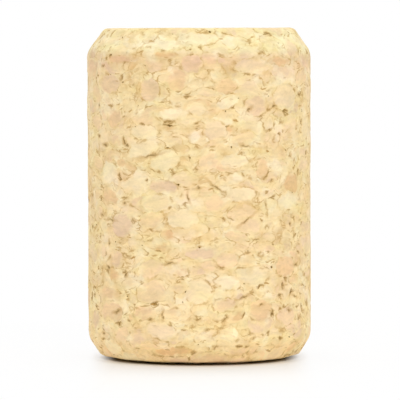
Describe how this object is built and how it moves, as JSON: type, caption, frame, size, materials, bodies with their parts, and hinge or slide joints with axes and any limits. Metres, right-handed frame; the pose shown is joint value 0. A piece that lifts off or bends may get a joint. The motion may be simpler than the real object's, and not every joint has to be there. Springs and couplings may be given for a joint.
{
  "type": "cork stopper",
  "caption": "Round cork stopper: a straight barrel of bonded cork granules with a chamfer at each end, one solid piece.",
  "frame": {"origin": "centre of the bottom end face, which the stopper stands on", "axes": "+Z along the barrel's axis, from the end with the smaller chamfer to the end with the larger one; X and Y are any pair across it"},
  "size_m": [0.0258, 0.0258, 0.038],
  "materials": {
    "cork": "bare agglomerated cork, ground, matte, unwaxed"
  },
  "bodies": {
    "root": {"stopper": "cork"}
  },
  "joints": []
}
